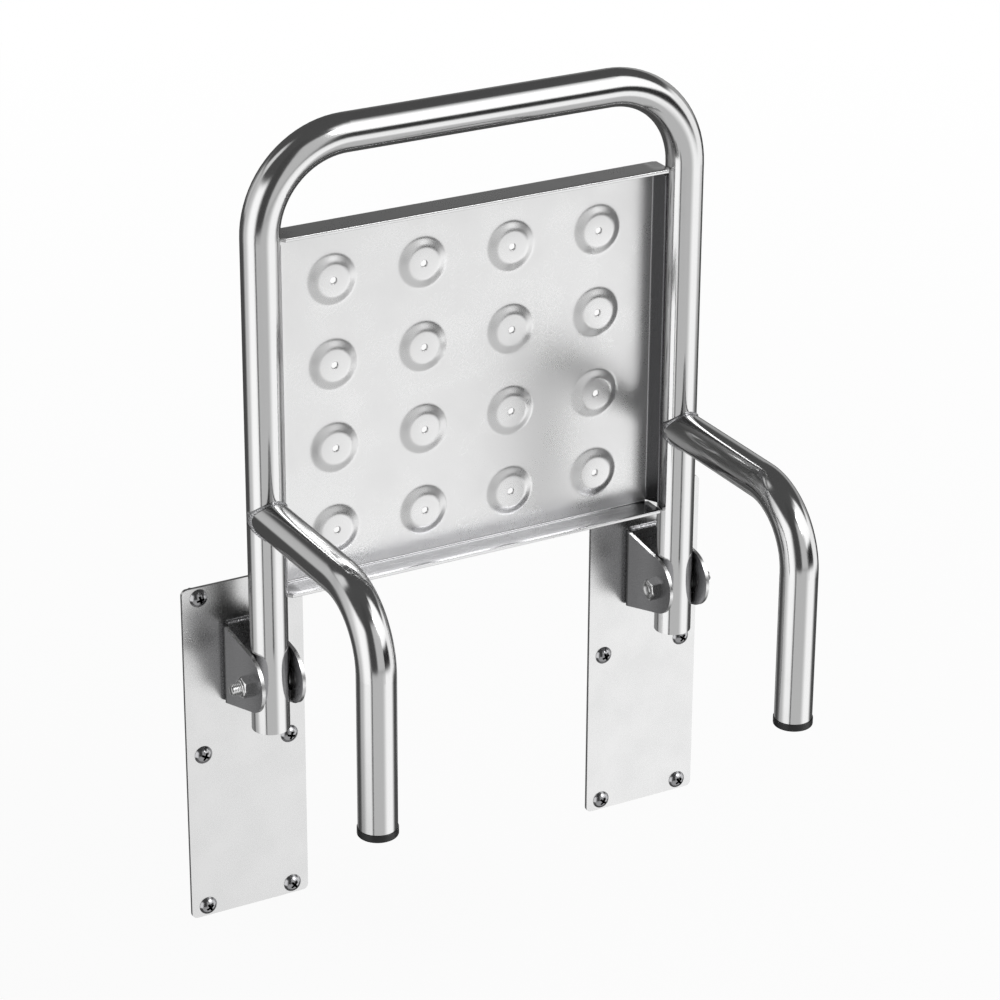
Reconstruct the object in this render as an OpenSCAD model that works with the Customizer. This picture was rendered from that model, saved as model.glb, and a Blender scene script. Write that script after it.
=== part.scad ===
// Fold down wall seat, shown stowed against the wall.
// Lengths in millimetres, angles in degrees. +X is to the sitter's left, +Y into the wall, +Z up.
// The wall's face is the plane Y = 0, and the origin is the centre of the screw pattern on it.

/* [Wall plates] */
// distance between the two plates' centre lines, which the side tubes share
plate_spacing = 390; // [340:1:440]
// width of one plate
plate_w = 110; // [100:1:130]
// height of one plate
plate_h = 310; // [290:1:340]
// thickness of one plate
plate_t = 3; // [2:0.5:3.5]
// radius of a plate's corners
plate_corner_r = 5; // [2:0.5:9]

/* [Wall screws] */
// distance of the outer screws from a plate's long edges
screw_side = 15; // [12:0.5:20]
// distance of the outer screws from a plate's short ends
screw_end = 9.5; // [9.5:0.5:14]
// diameter of a screw's domed head
screw_head_d = 16; // [13:0.5:18]
// height of a screw's domed head
screw_head_h = 5; // [4:0.5:6]
// diameter of the shank inside the plate
screw_neck_d = 8; // [6:0.5:8]
// diameter of the shank inside the wall
screw_shank_d = 7; // [5:0.5:7]
// how far the shank stands out behind the plate
screw_depth = 18; // [12:1:60]

/* [Hinge brackets] */
// pivot axis to the wall
pivot_out = 52; // [51.5:0.5:60]
// pivot axis above the centre of the screw pattern
pivot_up = 81.5; // [76:0.5:90]
// thickness of the folded bracket sheet
bracket_t = 3; // [2:0.5:3.5]
// height of the bracket at the plate
bracket_h = 71; // [62:1:80]
// radius of an ear's round nose
nose_r = 25.5; // [20:0.5:28]
// how far the nose's centre is in front of the pivot axis
nose_out = 1.5; // [0:0.5:8]
// how far the nose's centre is above the pivot axis
nose_up = 4; // [0:0.5:6]
// outside radius of the bracket's two folds
bracket_fold_r = 4.5; // [4:0.5:8]

/* [Pivot bolts] */
// bolt diameter
bolt_d = 10; // [8:1:12]
// hexagon across flats, of the head and of the nut
hex_af = 17; // [15:1:19]
// height of the bolt's head
bolt_head_h = 6.4; // [5:0.1:8]
// height of the nut's hexagon
nut_hex_h = 6.5; // [5:0.5:8]
// height of the nut's round collar
nut_collar_h = 1.8; // [1:0.1:3]
// length of bolt past the nut
bolt_tail = 8; // [4:1:14]
// turn of each hexagon about the pivot axis
hex_turn = 15; // [0:5:55]
// outside diameter of the sleeve across the tube
sleeve_d = 15; // [14:0.5:18]
// thickness of a washer beside the tube
washer_t = 0.5; // [0.5:0.1:1]
// outside diameter of a washer beside the tube
washer_d = 22; // [20:1:26]

/* [Seat frame] */
// outside diameter of the frame and leg tubes
tube_d = 32; // [30:0.5:34]
// wall of the frame and leg tubes
tube_t = 1.5; // [1.2:0.1:2]
// pivot axis to the lower end of a side tube
tube_below = 42; // [36:0.5:42]
// pivot axis to the axis of the cross bar
bar_up = 462; // [461:1:500]
// radius of the frame's two bends, at the tube axis
frame_bend_r = 75; // [60:1:76]
// length of the plug in a side tube's lower end
plug_len = 10; // [6:1:20]

/* [Seat pan] */
// pivot axis to the pan's lower edge
pan_low = 74; // [66:1:84]
// pivot axis to the pan's upper edge
pan_high = 385; // [378:1:386]
// pan sheet thickness
pan_t = 2; // [1:0.1:2.4]
// how far the sitting face stands behind the tube axis
pan_back = 21; // [17:0.5:23]
// depth of the folded edges
pan_depth = 27.5; // [24:0.5:30]
// sitting face to the free edge of a side lip, which lies against the tube
pan_side_depth = 21; // [17:0.5:22]
// outside radius of the folds
pan_fold_r = 3; // [2.5:0.5:5]
// how much shorter a side lip is at its free edge, at each end
lip_relief = 12; // [8:1:16]
// how far the front corners of the upper and lower lips are cut back
lip_corner_cut = 3; // [1:0.5:4]
// distance between dimples across the seat
dimple_pitch_x = 82; // [60:1:84]
// distance between dimples up the seat
dimple_pitch_z = 73; // [60:1:74]
// how far the middle of the dimples is below the middle of the pan
dimple_drop = 5.5; // [0:0.5:10]
// number of dimples each way
dimple_count = 4; // [3:1:4]
// diameter of a dimple at the sheet
dimple_d = 44; // [36:1:48]
// diameter of a dimple's flat floor
dimple_floor_d = 29; // [22:1:32]
// depth of a dimple
dimple_depth = 2.5; // [2:0.1:4]
// diameter of a drain hole
drain_d = 5.5; // [4:0.5:8]

/* [Support legs] */
// tube axis to leg axis
leg_reach = 192; // [180:1:203]
// pivot axis to the axis of the leg's level part
leg_root = 150; // [144:1:158]
// radius of the leg's bend, at the tube axis
leg_bend_r = 60; // [50:1:64]
// how far the foot cap's head stands out past the leg
cap_over = 0.7; // [0.3:0.1:1.5]
// height of the foot cap's head
cap_h = 6.5; // [5:0.5:10]
// rounding of the foot cap's lower edge
cap_round = 1.5; // [1:0.5:2]
// length of the foot cap's stem inside the leg
stem_len = 18; // [12:1:25]
// wall of the foot cap's and the plug's hollow stem
stem_wall = 2; // [1.5:0.5:3]

/* [Welds] */
// width of a weld bead
bead = 1.5; // [1:0.1:2]
// radius of the weld along a bracket's top and bottom edges
bracket_weld_r = 2.8; // [1.5:0.1:3.5]
// length of one weld between the pan and a side tube
pan_weld_len = 30; // [20:1:50]
// radius of a weld between the pan and a side tube
pan_weld_r = 3; // [2.5:0.5:3.5]
// welds on each side of the pan
pan_weld_count = 3; // [2:1:4]

/* [Hidden] */
// radial running clearance between a bolt and its sleeve
run_fit = 0.05;
// clearance between pieces that are welded or pushed together
seat_fit = 0.1;
// clearance between pieces that pass each other
pass_gap = 0.3;
// radial clearance of a screw or bolt in a plain hole
hole_gap = 0.25;
// extra length of a cut past the face that it leaves
past = 1;
// half the angle between two corners of a hexagon, and the slope of its chamfer
hex_half_angle = 30;
// radius of a hexagon's flat end as a share of half its width across flats
hex_face_share = 0.96;
$fn = 64;

tube_r = tube_d / 2;
bore_r = tube_r - tube_t;
side_x = plate_spacing / 2;
pivot_y = -pivot_out;
foot_z = pivot_up - (pivot_out - plate_t - pass_gap);
sleeve_half = tube_r + seat_fit;
ear_in = sleeve_half + pass_gap + washer_t;
ear_out = ear_in + bracket_t;
tube_low_z = pivot_up - tube_below;
bar_z = pivot_up + bar_up;
leg_root_z = pivot_up + leg_root;
leg_y = pivot_y - leg_reach;
pan_half_w = side_x - tube_r - pass_gap;
pan_back_y = pivot_y + pan_back;
pan_front_y = pan_back_y - pan_depth;
pan_z0 = pivot_up + pan_low;
pan_z1 = pivot_up + pan_high;
pan_mid_z = (pan_z0 + pan_z1) / 2;

steel = [0.78, 0.78, 0.79];
sheet = [0.82, 0.82, 0.83];
bright = [0.70, 0.71, 0.73];
black = [0.08, 0.08, 0.09];
nylon = [0.90, 0.89, 0.84];

// a round bar along X between two places
module bar_x(r, x0, x1) {
  translate([x0, 0, 0])
    rotate([0, 90, 0])
      cylinder(r = r, h = x1 - x0);
}

// a round bar along -Y, from y = 0 towards the viewer
module bar_front(r, length) {
  rotate([90, 0, 0])
    cylinder(r = r, h = length);
}

// a quarter of a ring of round bar, in the XZ plane, from +X up to +Z
module quarter_bend(r, bend_r) {
  rotate([90, 0, 0])
    rotate_extrude(angle = 90)
      translate([bend_r, 0])
        circle(r = r);
}

// the mirror image of a left-hand piece on the right, or the piece itself on the left
module on_side(side) {
  mirror([side > 0 ? 1 : 0, 0, 0])
    translate([-side_x, 0, 0])
      children();
}

// the places of the six screws of one plate, in the plate's own frame
module each_screw() {
  for (column = [-1, 1], row = [-1, 0, 1])
    translate([column * (plate_w / 2 - screw_side), 0, row * (plate_h / 2 - screw_end)])
      children();
}

// a plate's outline, with round corners
module plate_outline() {
  inner_w = plate_w - 2 * plate_corner_r;
  inner_h = plate_h - 2 * plate_corner_r;
  square([inner_w, plate_h], center = true);
  square([plate_w, inner_h], center = true);
  for (i = [-1, 1], j = [-1, 1])
    translate([i * inner_w / 2, j * inner_h / 2])
      circle(r = plate_corner_r);
}

module wall_plate(side) {
  color(sheet)
    on_side(side)
      difference() {
        rotate([90, 0, 0])
          linear_extrude(height = plate_t)
            plate_outline();
        each_screw()
          translate([0, past, 0])
            bar_front(screw_neck_d / 2 + hole_gap, plate_t + 2 * past);
      }
}

// the folded channel seen from above: a web on the plate and two ears towards the viewer
module channel_plan() {
  reach = pivot_out + nose_out + nose_r;
  inner_r = bracket_fold_r - bracket_t;
  difference() {
    union() {
      translate([-ear_out, plate_t + bracket_fold_r])
        square([2 * ear_out, reach - plate_t - bracket_fold_r]);
      translate([-ear_out + bracket_fold_r, plate_t])
        square([2 * (ear_out - bracket_fold_r), bracket_fold_r + past]);
      for (i = [-1, 1])
        translate([i * (ear_out - bracket_fold_r), plate_t + bracket_fold_r])
          circle(r = bracket_fold_r);
    }
    translate([-ear_in, plate_t + bracket_fold_r])
      square([2 * ear_in, reach]);
    translate([-ear_in + inner_r, plate_t + bracket_t])
      square([2 * (ear_in - inner_r), bracket_fold_r]);
    for (i = [-1, 1])
      translate([i * (ear_in - inner_r), plate_t + bracket_fold_r])
        circle(r = inner_r);
  }
}

// where a line from a corner touches the ear's nose, on the side given by the sign
function touch(corner, centre, sign) =
  let(
    off = corner - centre,
    turn = atan2(off[1], off[0]) + sign * acos(nose_r / norm(off))
  )
  centre + nose_r * [cos(turn), sin(turn)];

// an ear seen from the side: square at the fold, then two tangents and a round nose
module ear_outline() {
  square_end = plate_t + bracket_fold_r;
  top = bracket_h / 2;
  low = -top;
  nose = [pivot_out + nose_out, nose_up];
  polygon([
    [plate_t, low], [square_end, low], touch([square_end, low], nose, 1),
    touch([square_end, top], nose, -1), [square_end, top], [plate_t, top]
  ]);
  translate(nose)
    circle(r = nose_r);
}

module hinge_bracket(side) {
  color(sheet)
    on_side(side)
      translate([0, 0, pivot_up])
        difference() {
          intersection() {
            translate([0, 0, -bracket_h / 2])
              mirror([0, 1, 0])
                linear_extrude(height = bracket_h)
                  channel_plan();
            translate([-ear_out - past, 0, 0])
              rotate([90, 0, 90])
                mirror([1, 0, 0])
                  linear_extrude(height = 2 * (ear_out + past))
                    ear_outline();
          }
          translate([0, pivot_y, 0])
            bar_x(bolt_d / 2 + hole_gap, -ear_out - past, ear_out + past);
        }
}

// a rounded weld between the plate and each level edge of the bracket's web
module bracket_weld(side) {
  half_l = ear_out - bracket_fold_r;
  color(steel)
    on_side(side)
      for (end = [-1, 1])
        translate([-half_l, -plate_t, pivot_up + end * bracket_h / 2])
          rotate([90, 0, 90])
            linear_extrude(height = 2 * half_l)
              intersection() {
                circle(r = bracket_weld_r);
                translate([-bracket_weld_r, (end - 1) / 2 * bracket_weld_r])
                  square(bracket_weld_r);
              }
}

// a hexagon with its outer end chamfered, standing on x = 0 and growing towards +X
module hex_body(height) {
  corner_r = hex_af / 2 / cos(hex_half_angle);
  face_r = hex_face_share * hex_af / 2;
  intersection() {
    rotate([hex_turn, 0, 0])
      rotate([0, 90, 0])
        cylinder(r = corner_r, h = height, $fn = 6);
    rotate([0, 90, 0])
      cylinder(r1 = face_r + height / tan(hex_half_angle), r2 = face_r, h = height);
  }
}

// head on the inner side of the bracket, threaded end on the outer side
module pivot_bolt(side) {
  tail_x = -ear_out - nut_hex_h - nut_collar_h - bolt_tail;
  color(bright)
    on_side(side)
      translate([0, pivot_y, pivot_up]) {
        translate([ear_out, 0, 0])
          hex_body(bolt_head_h);
        bar_x(bolt_d / 2, tail_x + bead, ear_out);
        translate([tail_x, 0, 0])
          rotate([0, 90, 0])
            cylinder(r1 = bolt_d / 2 - bead, r2 = bolt_d / 2, h = bead);
      }
}

module pivot_nut(side) {
  color(bright)
    on_side(side)
      translate([-ear_out, pivot_y, pivot_up])
        mirror([1, 0, 0])
          difference() {
            union() {
              hex_body(nut_hex_h);
              bar_x(hex_af / 2 - bead, 0, nut_hex_h + nut_collar_h);
            }
            bar_x(bolt_d / 2 + seat_fit, -past, nut_hex_h + nut_collar_h + past);
          }
}

// one thin washer between each ear and the tube
module ear_washers() {
  color(nylon)
    for (side = [-1, 1], ear = [-1, 1])
      on_side(side)
        translate([ear * (ear_in - washer_t / 2), pivot_y, pivot_up])
          difference() {
            bar_x(washer_d / 2, -washer_t / 2, washer_t / 2);
            bar_x(bolt_d / 2 + hole_gap, -washer_t, washer_t);
          }
}

// half of a domed head's section: an arc from the rim to the top
module dome_section() {
  rim_r = screw_head_d / 2;
  ball_r = (rim_r * rim_r + screw_head_h * screw_head_h) / (2 * screw_head_h);
  intersection() {
    translate([0, screw_head_h - ball_r])
      circle(r = ball_r);
    square([rim_r, screw_head_h]);
  }
}

module wall_screws() {
  color(bright)
    for (side = [-1, 1])
      on_side(side)
        each_screw() {
          translate([0, -plate_t, 0])
            rotate([90, 0, 0])
              rotate_extrude()
                dome_section();
          bar_front(screw_neck_d / 2, plate_t);
          translate([0, screw_depth, 0])
            bar_front(screw_shank_d / 2, screw_depth);
        }
}

// the path of the U-shaped frame, filled with round bar of one radius
module frame_bar(r, ends) {
  straight_top = bar_z - frame_bend_r;
  for (side = [-1, 1]) {
    translate([side * side_x, pivot_y, tube_low_z - ends])
      cylinder(r = r, h = straight_top - tube_low_z + ends);
    mirror([side < 0 ? 1 : 0, 0, 0])
      translate([side_x - frame_bend_r, pivot_y, straight_top])
        quarter_bend(r, frame_bend_r);
  }
  translate([0, pivot_y, bar_z])
    bar_x(r, frame_bend_r - side_x, side_x - frame_bend_r);
}

module seat_frame() {
  color(steel)
    difference() {
      frame_bar(tube_r, 0);
      frame_bar(bore_r, past);
      for (side = [-1, 1])
        on_side(side)
          translate([0, pivot_y, pivot_up])
            bar_x(sleeve_d / 2 + seat_fit, -tube_r - past, tube_r + past);
    }
}

module pivot_sleeve(side) {
  color(bright)
    on_side(side)
      translate([0, pivot_y, pivot_up])
        difference() {
          bar_x(sleeve_d / 2, -sleeve_half, sleeve_half);
          bar_x(bolt_d / 2 + run_fit, -sleeve_half - past, sleeve_half + past);
        }
}

// a plug pushed into the lower end of each side tube, hollow from above
module tube_plugs() {
  color(black)
    for (side = [-1, 1])
      on_side(side)
        translate([0, pivot_y, tube_low_z])
          difference() {
            cylinder(r = bore_r - seat_fit, h = plug_len);
            translate([0, 0, stem_wall])
              cylinder(r = bore_r - seat_fit - stem_wall, h = plug_len);
          }
}

// a rectangle whose two corners on the far side are round
module fold_section(half_w, low, high, r) {
  translate([-half_w, low])
    square([2 * half_w, high - low - r]);
  translate([-half_w + r, low])
    square([2 * (half_w - r), high - low]);
  for (i = [-1, 1])
    translate([i * (half_w - r), high - r])
      circle(r = r);
}

// a block with round edges all round its sitting face, smaller by inset all round
module pan_block(inset, r) {
  half_w = pan_half_w - inset;
  half_h = (pan_z1 - pan_z0) / 2 - inset;
  front = pan_front_y + (inset > 0 ? -past : pan_t / 2);
  back = pan_back_y - inset;
  intersection() {
    translate([0, 0, -half_h])
      linear_extrude(height = 2 * half_h)
        fold_section(half_w, front, back, r);
    translate([-half_w, 0, 0])
      rotate([90, 0, 90])
        linear_extrude(height = 2 * half_w)
          mirror([1, -1, 0])
            fold_section(half_h, front, back, r);
  }
}

// the places of the dimples on the sitting face's underside
module each_dimple() {
  middle = (dimple_count - 1) / 2;
  for (column = [0 : dimple_count - 1], row = [0 : dimple_count - 1])
    translate([
      (column - middle) * dimple_pitch_x,
      pan_back_y - pan_t,
      (row - middle) * dimple_pitch_z - dimple_drop
    ])
      rotate([90, 0, 0])
        children();
}

// trims the side lips to their depth and cuts their ends back at an angle
module lip_cuts() {
  root_y = pan_back_y - pan_fold_r;
  side_y = pan_back_y - pan_side_depth;
  half_h = (pan_z1 - pan_z0) / 2 - pan_t;
  free_y = pan_front_y - past;
  outline = [
    [root_y, half_h], [side_y, half_h - lip_relief], [side_y, lip_relief - half_h], [root_y, -half_h],
    [free_y, -half_h], [free_y, half_h]
  ];
  for (i = [0, 1])
    mirror([i, 0, 0])
      translate([pan_half_w - pan_fold_r, 0, 0])
        rotate([90, 0, 90])
          linear_extrude(height = pan_fold_r + past)
            polygon(outline);
}

// the round front of the pan's upper and lower lips
module lip_noses() {
  for (i = [-1, 1])
    translate([0, pan_front_y + pan_t / 2, i * ((pan_z1 - pan_z0) / 2 - pan_t / 2)])
      rotate([0, 90, 0])
        cylinder(r = pan_t / 2, h = 2 * pan_half_w, center = true);
}

// cuts the front corners of the upper and lower lips clear of the tubes
module corner_cuts() {
  height = pan_z1 - pan_z0 + 2 * past;
  for (i = [0, 1])
    mirror([i, 0, 0])
      translate([0, 0, -height / 2])
        linear_extrude(height = height)
          polygon([
            [pan_half_w, pan_front_y + lip_corner_cut], [pan_half_w + past, pan_front_y - past],
            [pan_half_w - lip_corner_cut, pan_front_y - past], [pan_half_w - lip_corner_cut, pan_front_y]
          ]);
}

module seat_pan() {
  rim_r = dimple_d / 2;
  floor_r = dimple_floor_d / 2;
  color(sheet)
    translate([0, 0, pan_mid_z])
      difference() {
        union() {
          difference() {
            pan_block(0, pan_fold_r);
            pan_block(pan_t, pan_fold_r - pan_t);
          }
          lip_noses();
          each_dimple()
            cylinder(r1 = rim_r, r2 = floor_r, h = dimple_depth);
        }
        each_dimple()
          translate([0, 0, -pan_t])
            cylinder(r1 = rim_r - run_fit, r2 = floor_r - pan_t / 2, h = dimple_depth);
        each_dimple()
          translate([0, 0, -past])
            cylinder(r = drain_d / 2, h = dimple_depth + 2 * past);
        lip_cuts();
        corner_cuts();
      }
}

// short welds between the pan's side edges and the tubes, on the wall side
module pan_welds() {
  weld_out = tube_r - pan_weld_r / 2;
  weld_back = sqrt(pow(tube_r + bead, 2) - pow(weld_out, 2));
  step = (pan_high - pan_low) / pan_weld_count;
  color(steel)
    for (side = [-1, 1], k = [0 : pan_weld_count - 1])
      on_side(side)
        translate([0, pivot_y, pan_z0 + (k + 0.5) * step - pan_weld_len / 2])
          difference() {
            translate([weld_out, weld_back, 0])
              cylinder(r = pan_weld_r, h = pan_weld_len);
            translate([0, 0, -past])
              cylinder(r = tube_r + seat_fit, h = pan_weld_len + 2 * past);
            translate([tube_r + pass_gap - seat_fit, 0, -past])
              cube([tube_r, tube_d, pan_weld_len + 2 * past]);
          }
}

// the path of a leg, filled with round bar of one radius, with extra length at the foot
module leg_bar(r, ends) {
  level = leg_reach - leg_bend_r;
  drop = leg_root_z - leg_bend_r - foot_z - cap_h;
  translate([0, pivot_y, leg_root_z])
    bar_front(r, level);
  translate([0, pivot_y - level, leg_root_z - leg_bend_r])
    rotate([0, 0, -90])
      quarter_bend(r, leg_bend_r);
  translate([0, leg_y, foot_z + cap_h - ends])
    cylinder(r = r, h = drop + ends);
}

// a leg's end is hollowed to sit on the side tube
module support_leg(side) {
  color(steel)
    on_side(side)
      difference() {
        leg_bar(tube_r, 0);
        leg_bar(bore_r, past);
        translate([0, pivot_y, leg_root_z - tube_d])
          cylinder(r = tube_r + seat_fit, h = 2 * tube_d);
      }
}

// the weld bead that follows the saddle joint between leg and side tube
module leg_weld(side) {
  color(steel)
    on_side(side)
      translate([0, pivot_y, leg_root_z])
        difference() {
          intersection() {
            bar_front(tube_r + bead, tube_d);
            translate([0, 0, -tube_d])
              cylinder(r = tube_r + bead, h = 2 * tube_d);
          }
          translate([0, past, 0])
            bar_front(tube_r + seat_fit, tube_d + 2 * past);
          translate([0, 0, -tube_d - past])
            cylinder(r = tube_r + seat_fit, h = 2 * (tube_d + past));
          translate([tube_r, -tube_d, -tube_d])
            cube([tube_r, 2 * tube_d, 2 * tube_d]);
        }
}

// half of the foot cap's section: a rounded head and a hollow stem
module cap_section() {
  head_r = tube_r + cap_over;
  stem_r = bore_r - seat_fit;
  translate([0, cap_round])
    square([head_r, cap_h - cap_round]);
  square([head_r - cap_round, cap_h]);
  translate([head_r - cap_round, cap_round])
    circle(r = cap_round);
  translate([stem_r - stem_wall, 0])
    square([stem_wall, cap_h + stem_len]);
}

module foot_cap(side) {
  color(black)
    on_side(side)
      translate([0, leg_y, foot_z])
        rotate_extrude()
          cap_section();
}

wall_plate(-1);  // left_wall_plate
wall_plate(1);  // right_wall_plate
hinge_bracket(-1);  // left_hinge_bracket
hinge_bracket(1);  // right_hinge_bracket
bracket_weld(-1);  // left_bracket_weld
bracket_weld(1);  // right_bracket_weld
pivot_bolt(-1);  // left_pivot_bolt
pivot_bolt(1);  // right_pivot_bolt
pivot_nut(-1);  // left_pivot_nut
pivot_nut(1);  // right_pivot_nut
ear_washers();
wall_screws();
seat_frame();
seat_pan();
pan_welds();
pivot_sleeve(-1);  // left_pivot_sleeve
pivot_sleeve(1);  // right_pivot_sleeve
support_leg(-1);  // left_support_leg
support_leg(1);  // right_support_leg
leg_weld(-1);  // left_leg_weld
leg_weld(1);  // right_leg_weld
foot_cap(-1);  // left_foot_cap
foot_cap(1);  // right_foot_cap
tube_plugs();
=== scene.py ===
import bpy
from math import radians, sin, cos, pi, atan2, hypot
from mathutils import Matrix, Vector


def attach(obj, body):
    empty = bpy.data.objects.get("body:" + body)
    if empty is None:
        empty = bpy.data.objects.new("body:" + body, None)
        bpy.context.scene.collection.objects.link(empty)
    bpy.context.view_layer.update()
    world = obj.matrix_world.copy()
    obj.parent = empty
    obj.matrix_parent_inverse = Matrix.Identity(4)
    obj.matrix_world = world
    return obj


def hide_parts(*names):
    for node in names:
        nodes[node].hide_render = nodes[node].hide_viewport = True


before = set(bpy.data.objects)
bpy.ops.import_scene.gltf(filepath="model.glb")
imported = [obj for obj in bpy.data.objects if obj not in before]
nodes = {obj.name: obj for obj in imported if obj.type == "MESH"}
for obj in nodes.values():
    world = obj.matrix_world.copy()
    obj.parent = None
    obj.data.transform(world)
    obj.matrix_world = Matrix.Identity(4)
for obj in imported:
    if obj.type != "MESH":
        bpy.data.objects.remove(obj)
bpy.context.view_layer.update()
scene = bpy.context.scene
scene.view_settings.view_transform = "Standard"


# The camera stands left of the seat and above it and looks down at it through a long lens,
# without a shift. Its place was fitted to the edges, screws and holes in the photograph.
look_right, look_down, roll = radians(29.305), radians(24.084), radians(-0.309)
camera_place = (-1.33309, -2.46504, 1.43549)
forward = Vector((sin(look_right) * cos(look_down), cos(look_right) * cos(look_down), -sin(look_down)))
level = Vector((cos(look_right), -sin(look_right), 0.0))
drop = forward.cross(level)
right = cos(roll) * level + sin(roll) * drop
down = cos(roll) * drop - sin(roll) * level
camera_data = bpy.data.cameras.new("photo_camera")
camera_data.sensor_width = 36.0
camera_data.lens = 130.33
camera_data.clip_end = 50.0
camera = bpy.data.objects.new("photo_camera", camera_data)
scene.collection.objects.link(camera)
turn = Matrix((right, -down, -forward)).transposed().to_4x4()
camera.matrix_world = Matrix.Translation(camera_place) @ turn
scene.camera = camera


# The studio is a white room. The metal sees white screens beside, above and below the camera,
# black cards between them, and little light from behind and from straight above.
def add(tree, kind, links=None, **settings):
    """Adds a node. Links are by socket: Map Range takes 0 the value, 1 and 2 from, 3 and 4 to,
    and a Mix of colours takes 0 the share, 6 and 7 the colours."""
    made = tree.nodes.new(kind)
    for key, value in settings.items():
        setattr(made, key, value)
    for key, value in (links or {}).items():
        if isinstance(value, bpy.types.NodeSocket):
            tree.links.new(value, made.inputs[key])
        else:
            made.inputs[key].default_value = value
    return made


# Each screen or card has its left and right end as a bearing in degrees, where 0 is straight out
# from the wall, -90 is left and 90 is right. Then come its lower and upper end on the sky, where -1
# is straight down and 1 is straight up, its light, and by how many degrees its sides fade each way.
# A later one hangs in front of an earlier one, and the camera looks from bearing -28.
screens = (
    (-70, 70, -1.00, -0.20, 0.45, 10),    # grey ground in front
    (-130, -60, -0.50, 0.50, 0.50, 10),   # left screen, its dimmer far part
    (-100, -55, -0.50, 0.45, 0.95, 15),   # left screen, its bright near part
    (-160, -125, -0.05, 0.45, 0.45, 15),  # glow behind, on the left
    (100, 150, -0.10, 0.30, 0.30, 10),    # glow behind, on the right
    (-15, 20, -0.20, 0.70, 0.45, 5),      # grey screen, to the right of the camera
    (60, 100, -0.35, 0.30, 0.80, 5),      # right screen
    (20, 75, 0.20, 0.85, 1.00, 5),        # high screen, in front on the right
    (20, 75, -0.60, -0.25, 0.90, 15),     # low screen, in front on the right
    (-140, -115, 0.50, 0.85, 0.60, 5),    # high strip, behind on the left
    (-52, -20, -0.25, 0.90, 0.05, 8),     # black card round the camera
    (-56, -48, -0.55, -0.20, 0.10, 3),    # thin dark card below it
    (20, 58, -0.12, 0.15, 0.02, 4),       # black card between the high screen and the low one
)
dim_room = (0.06, 0.06, 0.06, 1.0)
fade_up = 0.07
pure_white = (1.0, 1.0, 1.0, 1.0)
light_on_matt = 0.7
room = bpy.data.worlds.new("white_studio")
scene.world = room
room.use_nodes = True
tree = room.node_tree
tree.nodes.clear()
look = add(tree, "ShaderNodeTexCoord")
part = add(tree, "ShaderNodeSeparateXYZ", {0: look.outputs["Generated"]})
front = add(tree, "ShaderNodeMath", {0: part.outputs[1], 1: -1.0}, operation="MULTIPLY")
bearing = add(tree, "ShaderNodeMath", {0: part.outputs[0], 1: front.outputs[0]}, operation="ARCTAN2")
walls = dim_room
for left_end, right_end, lower_end, upper_end, light, fade_across in screens:
    inside = 1.0
    for value, end, fade in ((bearing.outputs[0], radians(left_end), radians(fade_across)),
                             (bearing.outputs[0], radians(right_end), -radians(fade_across)),
                             (part.outputs[2], lower_end, fade_up),
                             (part.outputs[2], upper_end, -fade_up)):
        past = add(tree, "ShaderNodeMapRange", {0: value, 1: end - fade, 2: end + fade},
                   interpolation_type="SMOOTHSTEP")
        inside = add(tree, "ShaderNodeMath", {0: inside, 1: past.outputs[0]},
                     operation="MULTIPLY").outputs[0]
    walls = add(tree, "ShaderNodeMix", {0: inside, 6: walls, 7: (light, light, light, 1.0)},
                data_type="RGBA").outputs[2]
ray = add(tree, "ShaderNodeLightPath")
shine = add(tree, "ShaderNodeMath", {0: ray.outputs["Is Glossy Ray"],
                                     1: ray.outputs["Is Transmission Ray"]}, operation="MAXIMUM")
soft_light = add(tree, "ShaderNodeBackground", {0: pure_white, 1: light_on_matt})
# the screens are stronger where metal mirrors them directly than where other metal comes between
direct, by_way_of_metal = 1.38, 0.85
strength = add(tree, "ShaderNodeMapRange", {0: ray.outputs["Ray Depth"], 1: 2.0, 2: 3.0,
                                            3: direct, 4: by_way_of_metal})
for_metal = add(tree, "ShaderNodeBackground", {0: walls, 1: strength.outputs[0]})
white_back = add(tree, "ShaderNodeBackground", {0: pure_white, 1: 1.0})
lit = add(tree, "ShaderNodeMixShader", {0: shine.outputs[0], 1: soft_light.outputs[0],
                                        2: for_metal.outputs[0]})
seen = add(tree, "ShaderNodeMixShader", {0: ray.outputs["Is Camera Ray"], 1: lit.outputs[0],
                                         2: white_back.outputs[0]})
add(tree, "ShaderNodeOutputWorld", {0: seen.outputs[0]})

# one soft lamp, in front and to the right
lamp_data = bpy.data.lights.new("front_softbox", "AREA")
lamp_data.shape = "RECTANGLE"
lamp_data.size, lamp_data.size_y = 1.6, 1.2
lamp_data.energy = 26.0
lamp = bpy.data.objects.new("front_softbox", lamp_data)
scene.collection.objects.link(lamp)
lamp.location = (1.3, -2.2, 2.3)
lamp.rotation_euler = (radians(48), 0.0, radians(31))


# The floor is pale and matt, and about 0.44 m below the seat's pivots. It keeps a soft shadow,
# and fades into the white room towards its rim.
def bare_material(name):
    """A material with an empty node tree, and that tree."""
    made = bpy.data.materials.new(name)
    made.use_nodes = True
    made.node_tree.nodes.clear()
    return made, made.node_tree


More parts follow.
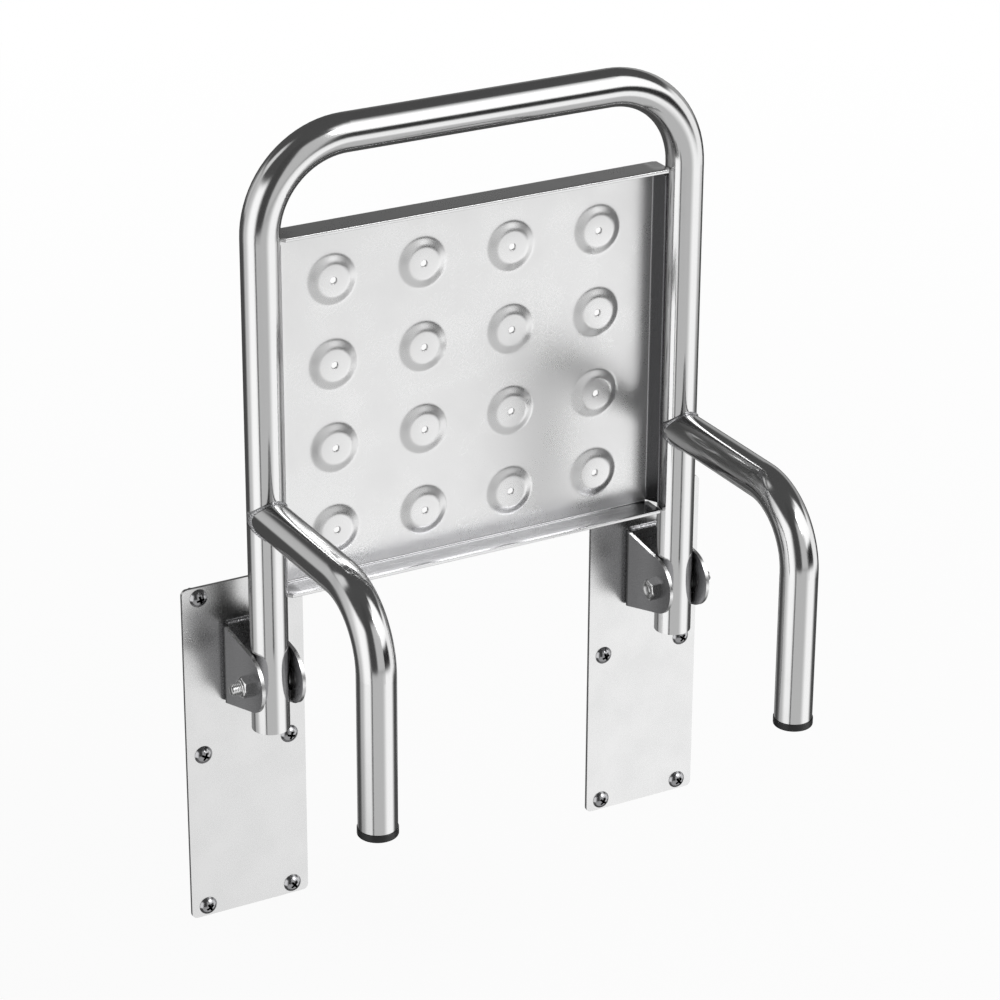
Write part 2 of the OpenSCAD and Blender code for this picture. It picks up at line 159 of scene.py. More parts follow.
floor_r, floor_z = 3.5, -0.36
bpy.ops.object.select_all(action="DESELECT")
bpy.ops.mesh.primitive_circle_add(vertices=96, radius=floor_r, fill_type="NGON",
                                  location=(0.0, 0.0, floor_z))
floor = bpy.context.object
floor.name = "floor"
bpy.ops.object.transform_apply(location=True)
floor.visible_glossy = False
matt_floor, tree = bare_material("pale_matt_floor")
place = add(tree, "ShaderNodeTexCoord")
fade_from, fade_to = 0.5, 3.2
reach = add(tree, "ShaderNodeVectorMath", {0: place.outputs["Object"]}, operation="LENGTH")
fade = add(tree, "ShaderNodeMapRange", {0: reach.outputs["Value"], 1: fade_from, 2: fade_to,
                                        3: 0.9, 4: 1.0})
ray = add(tree, "ShaderNodeLightPath")
straight = add(tree, "ShaderNodeMath", {0: ray.outputs["Is Camera Ray"],
                                        1: ray.outputs["Is Transmission Ray"]}, operation="MAXIMUM")
share = add(tree, "ShaderNodeMath", {0: fade.outputs[0], 1: straight.outputs[0]}, operation="MULTIPLY")
pale = add(tree, "ShaderNodeBsdfDiffuse", {0: (0.85, 0.85, 0.85, 1.0)})
white = add(tree, "ShaderNodeEmission", {0: pure_white, 1: 1.0})
both = add(tree, "ShaderNodeMixShader", {0: share.outputs[0], 1: pale.outputs[0], 2: white.outputs[0]})
add(tree, "ShaderNodeOutputMaterial", {0: both.outputs[0]})
floor.data.materials.append(matt_floor)


# The two wall plates are 3 mm stainless sheet, cut with round corners and ground to a satin
# finish whose fine grain blurs the dark reflections of the brackets in front of them.
def srgb(code):
    """An sRGB hex colour as the linear colour that a node takes."""
    steps = [int(code[i:i + 2], 16) / 255.0 for i in (0, 2, 4)]
    return tuple(c / 12.92 if c <= 0.04045 else ((c + 0.055) / 1.055) ** 2.4 for c in steps) + (1.0,)


def finish_nodes(material, *names):
    """Gives solids of the model their material."""
    for name in names:
        nodes[name].data.materials.clear()
        nodes[name].data.materials.append(material)


# satin ground stainless: an upright grain, drawn 0.4 mm wide and 1.4 mm long so that it shows,
# where the real one is 0.1 mm wide, and faint clouds of 36 mm from the hand that ground it
satin_sheet, tree = bare_material("satin_ground_stainless_sheet")
place = add(tree, "ShaderNodeTexCoord")
grains_per_metre = (2500.0, 2500.0, 700.0)
long_way = add(tree, "ShaderNodeMapping", {"Vector": place.outputs["Object"], "Scale": grains_per_metre})
grain = add(tree, "ShaderNodeTexNoise", {"Vector": long_way.outputs[0], "Scale": 1.0, "Detail": 3.0})
cloud = add(tree, "ShaderNodeTexNoise", {"Vector": place.outputs["Object"], "Scale": 28.0, "Detail": 2.0})
blend = add(tree, "ShaderNodeMath", {0: grain.outputs[0], 1: cloud.outputs[0]}, operation="ADD")
rough = add(tree, "ShaderNodeMapRange", {0: blend.outputs[0], 1: 0.7, 2: 1.3, 3: 0.24, 4: 0.30})
bump = add(tree, "ShaderNodeBump", {"Height": grain.outputs[0], "Strength": 0.06, "Distance": 0.0001})
metal = add(tree, "ShaderNodeBsdfPrincipled", {"Base Color": srgb("E4E4E4"), "Metallic": 1.0,
                                               "Roughness": rough.outputs[0], "Normal": bump.outputs[0]})
add(tree, "ShaderNodeOutputMaterial", {0: metal.outputs[0]})
finish_nodes(satin_sheet, "left_wall_plate", "right_wall_plate")


# The hinge brackets are 3 mm sheet folded to a U, with its web on the plate. Their ears keep the
# duller mill finish, and only the cut edges round the noses are ground bright.
bracket_x = 0.195
mill_sheet, tree = bare_material("mill_finish_stainless_with_ground_edges")
place = add(tree, "ShaderNodeTexCoord")
# the ears' faces look sideways, and what looks any other way is a cut edge
facing = add(tree, "ShaderNodeSeparateXYZ", {0: place.outputs["Normal"]})
sideways = add(tree, "ShaderNodeMath", {0: facing.outputs[0]}, operation="ABSOLUTE")
is_face = add(tree, "ShaderNodeMapRange", {0: sideways.outputs[0], 1: 0.6, 2: 0.9})
ground = add(tree, "ShaderNodeMix", {0: is_face.outputs[0], 6: srgb("EAEAEA"), 7: srgb("C2C2C4")},
             data_type="RGBA")
# the outside of the two folds beside the web is painted dark, as painted shade where the bracket meets the
# plate
part = add(tree, "ShaderNodeSeparateXYZ", {0: place.outputs["Object"]})
from_middle = add(tree, "ShaderNodeMath", {0: part.outputs[0]}, operation="ABSOLUTE")
from_web = add(tree, "ShaderNodeMath", {0: from_middle.outputs[0], 1: bracket_x}, operation="SUBTRACT")
aside = add(tree, "ShaderNodeMath", {0: from_web.outputs[0]}, operation="ABSOLUTE")
outside = add(tree, "ShaderNodeMapRange", {0: aside.outputs[0], 1: 0.0155, 2: 0.0160})
near_web = add(tree, "ShaderNodeMapRange", {0: part.outputs[1], 1: -0.0095, 2: -0.0080})
fold_shade_mask = add(tree, "ShaderNodeMath", {0: near_web.outputs[0], 1: outside.outputs[0]}, operation="MULTIPLY")
# the painted shade of the folds goes over the ground tone
tone_and_painted_shade = add(tree, "ShaderNodeMix", {0: fold_shade_mask.outputs[0], 6: ground.outputs[2], 7: srgb("707072")},
           data_type="RGBA")
grit = add(tree, "ShaderNodeTexNoise", {"Vector": place.outputs["Object"], "Scale": 1400.0, "Detail": 3.0})
rough = add(tree, "ShaderNodeMapRange", {0: grit.outputs[0], 1: 0.3, 2: 0.7, 3: 0.24, 4: 0.34})
bump = add(tree, "ShaderNodeBump", {"Height": grit.outputs[0], "Strength": 0.08, "Distance": 0.0001})
metal = add(tree, "ShaderNodeBsdfPrincipled", {"Base Color": tone_and_painted_shade.outputs[2], "Metallic": 1.0,
                                               "Roughness": rough.outputs[0], "Normal": bump.outputs[0]})
add(tree, "ShaderNodeOutputMaterial", {0: metal.outputs[0]})
finish_nodes(mill_sheet, "left_hinge_bracket", "right_hinge_bracket")


# A weld bead along the top and bottom edge of each bracket's web holds it to the plate, and like
# beads hold the legs and the tray to the side tubes. Cleaned weld metal is a dull light grey, with
# ripples about 1.2 mm apart that catch the light.
weld_metal, tree = bare_material("cleaned_weld_bead")
place = add(tree, "ShaderNodeTexCoord")
ripple = add(tree, "ShaderNodeTexVoronoi", {"Vector": place.outputs["Object"], "Scale": 800.0})
fine = add(tree, "ShaderNodeTexNoise", {"Vector": place.outputs["Object"], "Scale": 1500.0, "Detail": 2.0})
rough = add(tree, "ShaderNodeMapRange", {0: fine.outputs[0], 1: 0.3, 2: 0.7, 3: 0.18, 4: 0.32})
bump = add(tree, "ShaderNodeBump", {"Height": ripple.outputs["Distance"], "Strength": 0.7,
                                    "Distance": 0.0004})
metal = add(tree, "ShaderNodeBsdfPrincipled", {"Base Color": srgb("B8B8BA"), "Metallic": 1.0,
                                               "Roughness": rough.outputs[0], "Normal": bump.outputs[0]})
add(tree, "ShaderNodeOutputMaterial", {0: metal.outputs[0]})
finish_nodes(weld_metal, "left_bracket_weld", "right_bracket_weld", "left_leg_weld", "right_leg_weld",
             "pan_welds")


# An M10 bolt goes through each bracket and side tube: a forged hexagon head with a shallow dish
# on the inner side, and on the outer side a lock nut with a rolled collar and the thread's end.
def take(obj):
    """Leaves edit mode, and makes this the only object that is selected."""
    if bpy.context.object and bpy.context.object.mode != "OBJECT":
        bpy.ops.object.mode_set(mode="OBJECT")
    bpy.ops.object.select_all(action="DESELECT")
    obj.select_set(True)
    bpy.context.view_layer.objects.active = obj


def pick(obj, test):
    """Selects the vertices that pass the test, and goes into edit mode."""
    take(obj)
    for group in (obj.data.polygons, obj.data.edges):
        for item in group:
            item.select = False
    for vertex in obj.data.vertices:
        vertex.select = bool(test(vertex.co))
    bpy.context.tool_settings.mesh_select_mode = (True, False, False)
    bpy.ops.object.mode_set(mode="EDIT")


def turned(name, profile, turn_to, sides):
    """A solid turned on a lathe. The profile is (radius, place along the axis) from end to end."""
    bpy.ops.object.select_all(action="DESELECT")
    bpy.ops.mesh.primitive_circle_add(vertices=sides, radius=profile[0][0], fill_type="NGON",
                                      location=(0.0, 0.0, profile[0][1]))
    obj = bpy.context.object
    obj.name = name
    bpy.ops.object.transform_apply(location=True)
    bpy.ops.object.mode_set(mode="EDIT")
    bpy.context.tool_settings.mesh_select_mode = (False, False, True)
    bpy.ops.mesh.select_all(action="SELECT")
    for (r0, z0), (r1, z1) in zip(profile, profile[1:]):
        bpy.ops.mesh.extrude_region_move(TRANSFORM_OT_translate={"value": (0.0, 0.0, z1 - z0)})
        bpy.ops.transform.resize(value=(r1 / r0, r1 / r0, 1.0), center_override=(0.0, 0.0, z1))
    bpy.ops.mesh.select_all(action="SELECT")
    bpy.ops.mesh.normals_make_consistent(inside=False)
    bpy.ops.object.mode_set(mode="OBJECT")
    obj.data.transform(turn_to)
    return obj


def cut(obj, tool, operation="DIFFERENCE"):
    """Cuts a solid with another, or keeps what they share, and removes the other."""
    take(obj)
    change = obj.modifiers.new("cut", "BOOLEAN")
    change.operation = operation
    change.solver = "EXACT"
    change.object = tool
    bpy.ops.object.modifier_apply(modifier=change.name)
    bpy.data.objects.remove(tool)


def join(name, pieces):
    take(pieces[0])
    for piece in pieces[1:]:
        piece.select_set(True)
    bpy.ops.object.join()
    pieces[0].name = name
    return pieces[0]


def copy_of(obj, change):
    """A copy with its own mesh, which the matrix moves, turns or mirrors."""
    twin = obj.copy()
    twin.data = obj.data.copy()
    scene.collection.objects.link(twin)
    twin.data.transform(change)
    if change.determinant() < 0.0:
        twin.data.flip_normals()
    return twin


def smooth(obj, angle):
    take(obj)
    bpy.ops.object.shade_smooth_by_angle(angle=radians(angle))


# forged and barrel polished stainless: a fine grit of 0.45 mm under a fairly sharp shine, so that
# the flats of the hexagons stand out one by one
bright_steel, tree = bare_material("bright_forged_stainless")
place = add(tree, "ShaderNodeTexCoord")
grit = add(tree, "ShaderNodeTexNoise", {"Vector": place.outputs["Object"], "Scale": 2200.0, "Detail": 3.0})
rough = add(tree, "ShaderNodeMapRange", {0: grit.outputs[0], 1: 0.3, 2: 0.7, 3: 0.12, 4: 0.20})
bump = add(tree, "ShaderNodeBump", {"Height": grit.outputs[0], "Strength": 0.12, "Distance": 0.0001})
metal = add(tree, "ShaderNodeBsdfPrincipled", {"Base Color": srgb("ECECEC"), "Metallic": 1.0,
                                               "Roughness": rough.outputs[0], "Normal": bump.outputs[0]})
add(tree, "ShaderNodeOutputMaterial", {0: metal.outputs[0]})

left_pivot = Vector((-bracket_x, -0.052, 0.0815))
ear_out = 0.0199
half_flats = 0.0085
head_high, nut_high, collar_high = 0.0064, 0.0065, 0.0018
crest_r, root_r, thread_pitch = 0.00497, 0.00435, 0.0015
upright = Matrix()
to_right, to_left = Matrix.Rotation(radians(90), 4, "Y"), Matrix.Rotation(radians(-90), 4, "Y")


def hexagon(name, low, high, turned_by):
    """A hexagon bar along the axis with its upper end chamfered."""
    bpy.ops.object.select_all(action="DESELECT")
    bpy.ops.mesh.primitive_cylinder_add(vertices=6, radius=half_flats / cos(radians(30)),
                                        depth=high - low, location=(0.0, 0.0, (low + high) / 2.0),
                                        rotation=(0.0, 0.0, turned_by))
    obj = bpy.context.object
    obj.name = name
    bpy.ops.object.transform_apply()
    cone = turned("chamfer", [(half_flats * 1.4, low - 0.001), (half_flats * 1.4, high - 0.0026),
                              (half_flats * 0.95, high), (half_flats * 0.90, high + 0.00001)],
                  upright, 64)
    cut(obj, cone, "INTERSECT")
    return obj


head = hexagon("bolt_head", 0.0, head_high, radians(15))
dish = turned("dish", [(0.0048, 0.0058), (0.0062, 0.0066)], upright, 40)
cut(head, dish)
knob = turned("knob", [(0.0036, 0.0050), (0.0036, 0.0061), (0.0030, 0.00635)], upright, 32)
washer_face = turned("washer_face", [(0.0080, -0.0003), (0.0080, 0.0002)], upright, 48)
head = join("bolt_head", [head, knob, washer_face])
head.data.transform(Matrix.Translation((ear_out, 0.0, 0.0)) @ to_right)

# the thread starts inside the nut, and its chamfered end stands 8 mm out of the collar
thread_start = ear_out + 0.0055
tail_end = ear_out + nut_high + collar_high + 0.008
thread = [(0.0050, -ear_out), (0.0050, thread_start)]
z = thread_start
while z < tail_end - 0.0030:
    thread += [(root_r, z + 0.00060), (root_r, z + 0.00078), (crest_r, z + 0.00138),
               (crest_r, z + thread_pitch)]
    z += thread_pitch
thread += [(root_r, z + 0.0006), (0.0040, tail_end - 0.0004), (0.0030, tail_end)]
shaft = turned("bolt_shaft", thread, to_right @ Matrix.Rotation(pi, 4, "X"), 40)
bolt = join("pivot_bolt", [head, shaft])

nut = hexagon("lock_nut", 0.0, nut_high, radians(40))
rolled = [(0.0079, 0.0040), (0.0079, 0.0069), (0.0077, 0.0076), (0.0072, 0.0081), (0.0066, 0.0083),
          (0.0060, 0.0082), (0.0057, 0.0078), (0.0057, 0.0074), (0.0053, 0.0072)]
collar = turned("collar", rolled, upright, 48)
nut = join("lock_nut", [nut, collar])
nut.data.transform(Matrix.Translation((-ear_out, 0.0, 0.0)) @ to_left)

mirror = Matrix.Scale(-1.0, 4, (1.0, 0.0, 0.0))
for made, kind in ((bolt, "pivot_bolt"), (nut, "pivot_nut")):
    made.data.materials.clear()
    made.data.materials.append(bright_steel)
    smooth(made, 30)
    made.data.transform(Matrix.Translation(left_pivot))
    made.name = "left_" + kind + "_detailed"
    twin = copy_of(made, mirror)
    twin.name = "right_" + kind + "_detailed"
    for obj, side in ((made, "left_"), (twin, "right_")):
        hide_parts(side + kind)
        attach(obj, "wall_base")


# Thin washers punched from black nylon sheet sit on the bolts and keep the ears off the tubes.
# The sheet is dull, with a faint mottle about 1 mm across.
black_nylon, tree = bare_material("dull_black_nylon")
place = add(tree, "ShaderNodeTexCoord")
mottle = add(tree, "ShaderNodeTexNoise", {"Vector": place.outputs["Object"], "Scale": 900.0})
rough = add(tree, "ShaderNodeMapRange", {0: mottle.outputs[0], 1: 0.3, 2: 0.7, 3: 0.45, 4: 0.60})
dull = add(tree, "ShaderNodeBsdfPrincipled", {"Base Color": srgb("1A1A1B"), "Roughness": rough.outputs[0],
                                              "IOR": 1.53})
add(tree, "ShaderNodeOutputMaterial", {0: dull.outputs[0]})
finish_nodes(black_nylon, "ear_washers")


# Twelve stainless wall screws hold the plates: a domed head with a cross recess, which looks
# like a black four-point star, and a pointed end of thread in the wall.

# cold headed stainless, darker than the bolts, with a grit of 0.6 mm
screw_steel, tree = bare_material("dull_stainless_screw_steel")
place = add(tree, "ShaderNodeTexCoord")
grit = add(tree, "ShaderNodeTexNoise", {"Vector": place.outputs["Object"], "Scale": 1600.0, "Detail": 2.0})
rough = add(tree, "ShaderNodeMapRange", {0: grit.outputs[0], 1: 0.3, 2: 0.7, 3: 0.14, 4: 0.24})
metal = add(tree, "ShaderNodeBsdfPrincipled", {"Base Color": srgb("B4B4B6"), "Metallic": 1.0,
                                               "Roughness": rough.outputs[0]})
add(tree, "ShaderNodeOutputMaterial", {0: metal.outputs[0]})
# inside the recess no light comes back
recess_black, tree = bare_material("shaded_driver_recess")
place = add(tree, "ShaderNodeTexCoord")
grit = add(tree, "ShaderNodeTexNoise", {"Vector": place.outputs["Object"], "Scale": 1600.0})
rough = add(tree, "ShaderNodeMapRange", {0: grit.outputs[0], 1: 0.3, 2: 0.7, 3: 0.55, 4: 0.75})
dark = add(tree, "ShaderNodeBsdfPrincipled", {"Base Color": srgb("121213"), "Metallic": 1.0,
                                              "Roughness": rough.outputs[0]})
add(tree, "ShaderNodeOutputMaterial", {0: dark.outputs[0]})
head_r, head_rise, rim_rise = 0.008, 0.005, 0.0003
ball = (head_r ** 2 + head_rise ** 2) / (2 * head_rise)
dome = [(0.0078, 0.0), (head_r, rim_rise)]
for k in range(1, 9):
    height = rim_rise + 0.0046 * k / 8.0
    dome.append((max((ball ** 2 - (ball - head_rise + height) ** 2) ** 0.5, 0.0004), height))
screw_head = turned("screw_head", dome, upright, 48)
screw_head.data.materials.append(screw_steel)
screw_head.data.materials.append(recess_black)
# each bar of the cross is 10.6 mm long and 2.6 mm wide, and narrows inwards
for quarter in (0, 90):
    bpy.ops.object.select_all(action="DESELECT")
    bpy.ops.mesh.primitive_cube_add(size=1.0, location=(0.0, 0.0, 0.0041),
                                    scale=(0.0106, 0.0026, 0.0046))
    wing = bpy.context.object
    bpy.ops.object.transform_apply()
    wing.data.materials.append(screw_steel)
    wing.data.materials.append(recess_black)
    for face in wing.data.polygons:
        face.material_index = 1
    pick(wing, lambda co: co.z < 0.003)
    bpy.ops.transform.resize(value=(0.34, 0.45, 1.0), center_override=(0.0, 0.0, 0.002))
    bpy.ops.object.mode_set(mode="OBJECT")
    wing.data.transform(Matrix.Rotation(radians(quarter), 4, "Z"))
    cut(screw_head, wing)
# the thread behind the plate, which narrows to a point
shank_r, core_r, screw_pitch = 0.0035, 0.0026, 0.0022
z = -0.0036
stub = [(0.0040, 0.0005), (0.0039, -0.0032), (shank_r, z)]
while z > -0.0190:
    thin = min(1.0, (z + 0.0212) / 0.0085)
    stub += [(core_r * thin, z - 0.0009), (core_r * thin, z - 0.0011), (shank_r * thin, z - 0.0020)]
    z -= screw_pitch
stub += [(0.0005, -0.0208), (0.0002, -0.021)]
screw_stub = turned("screw_stub", stub, upright, 24)
screw_stub.data.materials.append(screw_steel)
screw = join("wall_screw", [screw_head, screw_stub])
smooth(screw, 32)
# each was driven home by hand, so its cross stands at an angle of its own
plate_front = -0.003
out_of_wall = Matrix.Rotation(radians(90), 4, "X")
turns = iter((28, 62, 15, 40, 75, 33, 50, 22, 68, 37, 55, 18))
screws = []
for x in (-0.235, -0.155, 0.155, 0.235):
    for z in (-0.1455, 0.0, 0.1455):
        driven = Matrix.Rotation(radians(next(turns)), 4, "Z")
        screws.append(copy_of(screw, Matrix.Translation((x, plate_front, z)) @ out_of_wall @ driven))
bpy.data.objects.remove(screw)
screws = join("wall_screws_detailed", screws)
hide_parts("wall_screws")
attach(screws, "wall_base")


# The frame is one stainless tube, 32 mm across, bent twice to a U. The two hooked legs are bent
# from the same tube. A plain turned sleeve is welded across each side tube for its pivot bolt.

# satin polished stainless tube: a grain of 0.8 mm and clouds of 22 mm, under a sheen that mirrors
# the studio in soft bands
satin_tube, tree = bare_material("satin_polished_stainless_tube")
place = add(tree, "ShaderNodeTexCoord")
grain = add(tree, "ShaderNodeTexNoise", {"Vector": place.outputs["Object"], "Scale": 1300.0, "Detail": 3.0})
cloud = add(tree, "ShaderNodeTexNoise", {"Vector": place.outputs["Object"], "Scale": 45.0, "Detail": 2.0})
blend = add(tree, "ShaderNodeMath", {0: grain.outputs[0], 1: cloud.outputs[0]}, operation="ADD")
rough = add(tree, "ShaderNodeMapRange", {0: blend.outputs[0], 1: 0.7, 2: 1.3, 3: 0.105, 4: 0.15})
bump = add(tree, "ShaderNodeBump", {"Height": grain.outputs[0], "Strength": 0.05, "Distance": 0.0001})
metal = add(tree, "ShaderNodeBsdfPrincipled", {"Base Color": srgb("DCDCDC"), "Metallic": 1.0,
                                               "Roughness": rough.outputs[0], "Normal": bump.outputs[0]})
add(tree, "ShaderNodeOutputMaterial", {0: metal.outputs[0]})
finish_nodes(satin_tube, "seat_frame", "left_support_leg", "right_support_leg")
finish_nodes(bright_steel, "left_pivot_sleeve", "right_pivot_sleeve")


# The seat pan is one 2 mm stainless sheet with 16 pressed dimples, each with a drain hole. All four
# edges are folded to lips, which point away from the wall while the seat is up, and the pan is
# welded between the side tubes.

# satin pressed stainless: a fine even grain of 0.9 mm and clouds of 42 mm, which mirror the right
# leg softly
pan_sheet, tree = bare_material("satin_pressed_stainless_sheet")
place = add(tree, "ShaderNodeTexCoord")
grain = add(tree, "ShaderNodeTexNoise", {"Vector": place.outputs["Object"], "Scale": 1100.0, "Detail": 3.0})
cloud = add(tree, "ShaderNodeTexNoise", {"Vector": place.outputs["Object"], "Scale": 24.0, "Detail": 2.0})
blend = add(tree, "ShaderNodeMath", {0: grain.outputs[0], 1: cloud.outputs[0]}, operation="ADD")
rough = add(tree, "ShaderNodeMapRange", {0: blend.outputs[0], 1: 0.7, 2: 1.3, 3: 0.26, 4: 0.32})
bump = add(tree, "ShaderNodeBump", {"Height": grain.outputs[0], "Strength": 0.03, "Distance": 0.0001})
metal = add(tree, "ShaderNodeBsdfPrincipled", {"Base Color": srgb("ECECEC"), "Metallic": 1.0,
                                               "Roughness": rough.outputs[0], "Normal": bump.outputs[0]})
add(tree, "ShaderNodeOutputMaterial", {0: metal.outputs[0]})
# the lips' inner faces and folds are painted darker as painted shade: evenly dark on the side lips, and on
# the upper and lower lips lighter towards their free edges, with streaks of 17 mm along the fold
streaked_painted_lip_shade, tree = bare_material("streaked_painted_shade_inside_the_lips")
place = add(tree, "ShaderNodeTexCoord")
along = add(tree, "ShaderNodeMapping", {"Vector": place.outputs["Object"], "Scale": (60.0, 1500.0, 60.0)})
grain = add(tree, "ShaderNodeTexNoise", {"Vector": along.outputs[0], "Scale": 1.0, "Detail": 3.0})
part = add(tree, "ShaderNodeSeparateXYZ", {0: place.outputs["Object"]})
sideways = add(tree, "ShaderNodeMath", {0: part.outputs[0]}, operation="ABSOLUTE")
is_side = add(tree, "ShaderNodeMapRange", {0: sideways.outputs[0], 1: 0.1748, 2: 0.1754})
shade_fades_to_free_edge = add(tree, "ShaderNodeMapRange", {0: part.outputs[1], 1: -0.046, 2: -0.0575},
                interpolation_type="SMOOTHSTEP")
dull = add(tree, "ShaderNodeMix", {0: grain.outputs[0], 6: srgb("7E7E80"), 7: srgb("B0B0B2")},
           data_type="RGBA")
lip_painted_shade = add(tree, "ShaderNodeMix", {0: shade_fades_to_free_edge.outputs[0], 6: dull.outputs[2], 7: srgb("BCBCBE")},
               data_type="RGBA")
tone_and_painted_shade = add(tree, "ShaderNodeMix", {0: is_side.outputs[0], 6: lip_painted_shade.outputs[2], 7: srgb("808082")},
           data_type="RGBA")
rough = add(tree, "ShaderNodeMapRange", {0: grain.outputs[0], 1: 0.3, 2: 0.7, 3: 0.18, 4: 0.28})
metal = add(tree, "ShaderNodeBsdfPrincipled", {"Base Color": tone_and_painted_shade.outputs[2], "Metallic": 1.0,
                                               "Roughness": rough.outputs[0]})
add(tree, "ShaderNodeOutputMaterial", {0: metal.outputs[0]})

# the pan's middle, the dimples' middle, and the face that is sat on
pan_z = 0.311
dimples_z = pan_z - 0.0055
sitting_y, sheet_t = -0.031, 0.002
# one dimple from its drain hole outwards, as (radius, depth), and half the distance to the next one
press = ((0.0029, 0.0025), (0.0040, 0.0025), (0.0125, 0.0025), (0.0136, 0.00244), (0.0147, 0.00222),
         (0.0160, 0.00180), (0.0180, 0.00112), (0.0196, 0.00058), (0.0208, 0.00022), (0.0220, 0.00004),
         (0.0232, 0.0), (0.0258, 0.0))
half_x, half_z = 0.041, 0.0365
bpy.ops.object.select_all(action="DESELECT")
bpy.ops.mesh.primitive_circle_add(vertices=48, radius=press[0][0], rotation=(radians(90), 0.0, 0.0),
                                  location=(0.0, sitting_y - press[0][1], 0.0))
cell = bpy.context.object
bpy.ops.object.transform_apply()
bpy.ops.object.mode_set(mode="EDIT")
bpy.context.tool_settings.mesh_select_mode = (False, True, False)
bpy.ops.mesh.select_all(action="SELECT")
for (r0, d0), (r1, d1) in zip(press, press[1:]):
    bpy.ops.mesh.extrude_region_move(TRANSFORM_OT_translate={"value": (0.0, d0 - d1, 0.0)})
    bpy.ops.transform.resize(value=(r1 / r0, 1.0, r1 / r0), center_override=(0.0, sitting_y - d1, 0.0))
bpy.ops.mesh.extrude_region_move(TRANSFORM_OT_translate={"value": (0.0, 0.0, 0.0)})
bpy.ops.transform.resize(value=(1.2, 1.0, 1.2), center_override=(0.0, sitting_y, 0.0))
bpy.ops.object.mode_set(mode="OBJECT")
# the outermost ring, whose points are 7.5 degrees apart, is drawn out to a rectangle, with the
# nearest points in its corners
corner = atan2(half_z, half_x)
half_step = radians(3.9)
for vertex in cell.data.vertices:
    if hypot(vertex.co.x, vertex.co.z) > 0.027:
        way = atan2(abs(vertex.co.z), abs(vertex.co.x))
        if abs(way - corner) < half_step:
            spot = (half_x, half_z)
        elif way < corner:
            spot = (half_x, half_x * abs(vertex.co.z) / abs(vertex.co.x))
        else:
            spot = (half_z * abs(vertex.co.x) / abs(vertex.co.z), half_z)
        vertex.co.x = spot[0] if vertex.co.x > 0.0 else -spot[0]
        vertex.co.z = spot[1] if vertex.co.z > 0.0 else -spot[1]
cells = [copy_of(cell, Matrix.Translation((half_x * (2 * i - 3), 0.0, dimples_z + half_z * (2 * j - 3))))
         for i in range(4) for j in range(4)]
bpy.data.objects.remove(cell)
pan = join("seat_pan_pressed", cells)
take(pan)
bpy.ops.object.mode_set(mode="EDIT")
bpy.ops.mesh.select_all(action="SELECT")
bpy.ops.mesh.remove_doubles(threshold=0.0002)
bpy.ops.object.mode_set(mode="OBJECT")

# the flat margin, then the folds with an outer radius of 3 mm: the upper and lower lips are 27.5 mm
# deep, in steps for the cut corner and the thicker free edge, and the side lips are 21 mm deep
pan_half_x, pan_half_z, fold_r = 0.1787, 0.1555, 0.003
flat_x, flat_z = pan_half_x - fold_r, pan_half_z - fold_r
lip_steps, side_lip, side_lip_taper = (0.0008, 0.0193, 0.0010, 0.0034), 0.018, 0.972
edge_x = 4 * half_x
for way in (-1, 1):
    pick(pan, lambda co: abs(co.x - way * edge_x) < 0.0001)
    bpy.ops.mesh.extrude_region_move(TRANSFORM_OT_translate={"value": (way * (flat_x - edge_x), 0.0, 0.0)})
    bpy.ops.object.mode_set(mode="OBJECT")
for way in (-1, 1):
    edge_z = dimples_z + way * 4 * half_z
    margin = pan_z + way * flat_z - edge_z
    pick(pan, lambda co: abs(co.z - edge_z) < 0.0001)
    bpy.ops.mesh.extrude_region_move(TRANSFORM_OT_translate={"value": (0.0, 0.0, margin)})
    bpy.ops.object.mode_set(mode="OBJECT")
for way in (-1, 1):
    pick(pan, lambda co: abs(co.z - pan_z - way * flat_z) < 0.0001)
    bpy.ops.mesh.spin(steps=6, angle=way * radians(-90), axis=(1.0, 0.0, 0.0),
                      center=(0.0, sitting_y - fold_r, pan_z + way * flat_z))
    for depth in lip_steps:
        bpy.ops.mesh.extrude_region_move(TRANSFORM_OT_translate={"value": (0.0, -depth, 0.0)})
    bpy.ops.object.mode_set(mode="OBJECT")
for way in (-1, 1):
    pick(pan, lambda co: abs(co.x - way * flat_x) < 0.0001 and co.y > sitting_y - 0.0001)
    bpy.ops.mesh.spin(steps=6, angle=way * radians(90), axis=(0.0, 0.0, 1.0),
                      center=(way * flat_x, sitting_y - fold_r, pan_z))
    bpy.ops.mesh.extrude_region_move(TRANSFORM_OT_translate={"value": (0.0, -side_lip, 0.0)})
    bpy.ops.transform.resize(value=(1.0, 1.0, side_lip_taper), center_override=(0.0, 0.0, pan_z))
    bpy.ops.object.mode_set(mode="OBJECT")
# the ends of the upper and lower lips reach nearly to the tubes, and their last corners are clipped
end_x, clipped_x = 0.1784, 0.1756
for vertex in pan.data.vertices:
    co = vertex.co
    if abs(co.z - pan_z) > flat_z + 0.0029 and abs(co.x) > flat_x - 0.0001 and co.y < -0.0346:
        side_x = end_x if co.y > -0.0575 else clipped_x
        co.x = side_x if co.x > 0.0 else -side_x
take(pan)
bpy.ops.object.mode_set(mode="EDIT")
bpy.ops.mesh.select_all(action="SELECT")
bpy.ops.mesh.normals_make_consistent(inside=False)
bpy.ops.object.mode_set(mode="OBJECT")
centre = Vector((0.0, sitting_y, dimples_z))
middle = min(pan.data.polygons, key=lambda face: (face.center - centre).length)
if middle.normal.y < 0.0:
    pan.data.flip_normals()
thick = pan.modifiers.new("sheet", "SOLIDIFY")
thick.thickness = sheet_t
thick.offset = -1.0
thick.use_even_offset = True
bpy.ops.object.modifier_apply(modifier=thick.name)
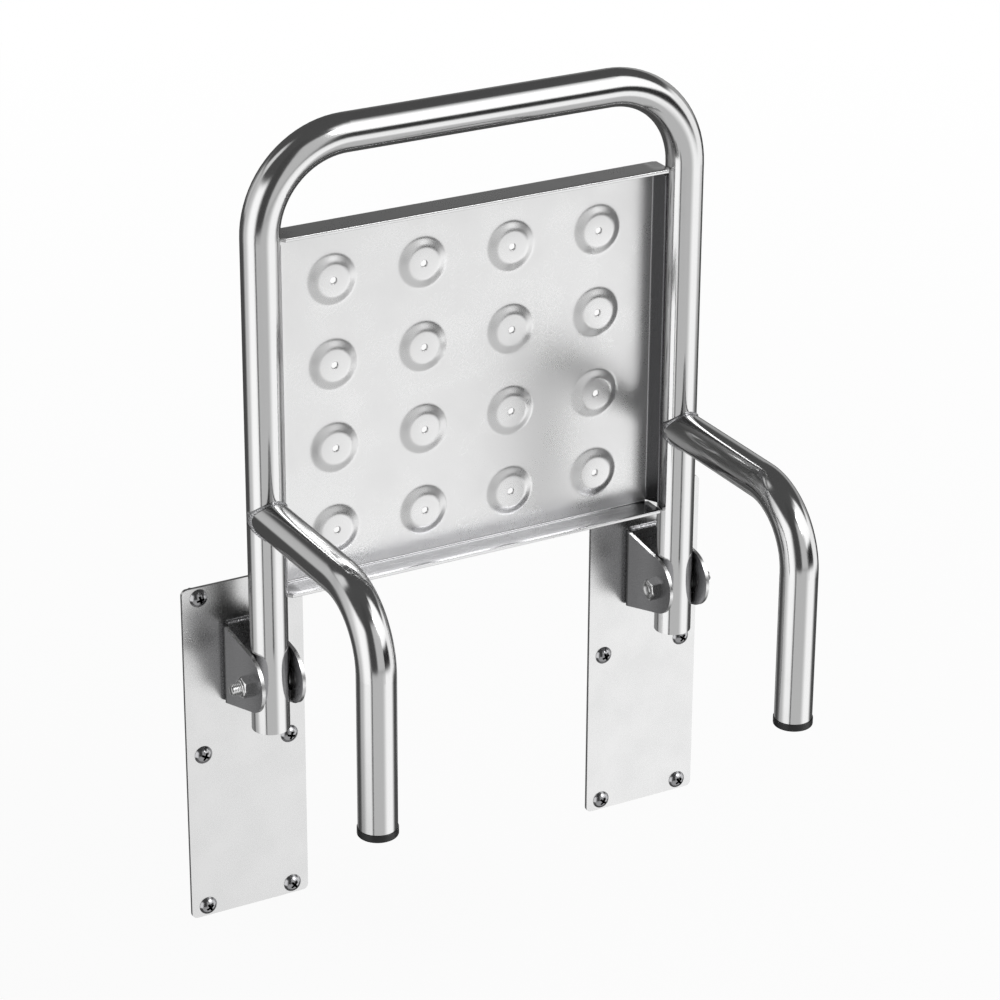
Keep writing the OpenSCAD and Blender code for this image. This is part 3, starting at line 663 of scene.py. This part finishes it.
# the free edges of the upper and lower lips are thickened to 3 mm on their inner side
thicker_by, thicker_from_y = 0.0010, -0.0548
for vertex in pan.data.vertices:
    up = vertex.co.z - pan_z
    if vertex.co.y < thicker_from_y and flat_z < abs(up) < flat_z + 0.0015:
        vertex.co.z -= thicker_by if up > 0.0 else -thicker_by
edge = pan.modifiers.new("edge", "BEVEL")
edge.width = 0.0009
edge.segments = 3
edge.limit_method = "ANGLE"
edge.angle_limit = radians(60)
bpy.ops.object.modifier_apply(modifier=edge.name)
pan.data.materials.append(pan_sheet)
pan.data.materials.append(streaked_painted_lip_shade)
underside_y = sitting_y - sheet_t
# the lips' inner faces and the inner sides of their folds take the painted shade
for face in pan.data.polygons:
    spot, facing = face.center, face.normal
    up = abs(spot.z - pan_z)
    inside_lip = abs(facing.z) > 0.3 and facing.z * (spot.z - pan_z) < 0.0 and up > flat_z
    inside_side = facing.x * spot.x < 0.05 and abs(spot.x) > flat_x - sheet_t and up < flat_z
    if (inside_lip or inside_side) and spot.y < underside_y - 0.0001:
        face.material_index = 1
smooth(pan, 35)
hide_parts("seat_pan")
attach(pan, "seat")


# Black moulded plastic closes the tubes: a rounded cap on each leg, which rests on the wall
# plate when the seat is down, and a flush plug in the lower end of each side tube. Its surface
# has a moulded grit of 0.8 mm and a low gloss.
black_plastic, tree = bare_material("black_moulded_plastic")
place = add(tree, "ShaderNodeTexCoord")
grit = add(tree, "ShaderNodeTexNoise", {"Vector": place.outputs["Object"], "Scale": 1200.0, "Detail": 2.0})
rough = add(tree, "ShaderNodeMapRange", {0: grit.outputs[0], 1: 0.3, 2: 0.7, 3: 0.28, 4: 0.40})
bump = add(tree, "ShaderNodeBump", {"Height": grit.outputs[0], "Strength": 0.15, "Distance": 0.0001})
moulded = add(tree, "ShaderNodeBsdfPrincipled", {"Base Color": srgb("161617"), "IOR": 1.5,
                                                 "Roughness": rough.outputs[0],
                                                 "Normal": bump.outputs[0]})
add(tree, "ShaderNodeOutputMaterial", {0: moulded.outputs[0]})
finish_nodes(black_plastic, "left_foot_cap", "right_foot_cap", "tube_plugs")
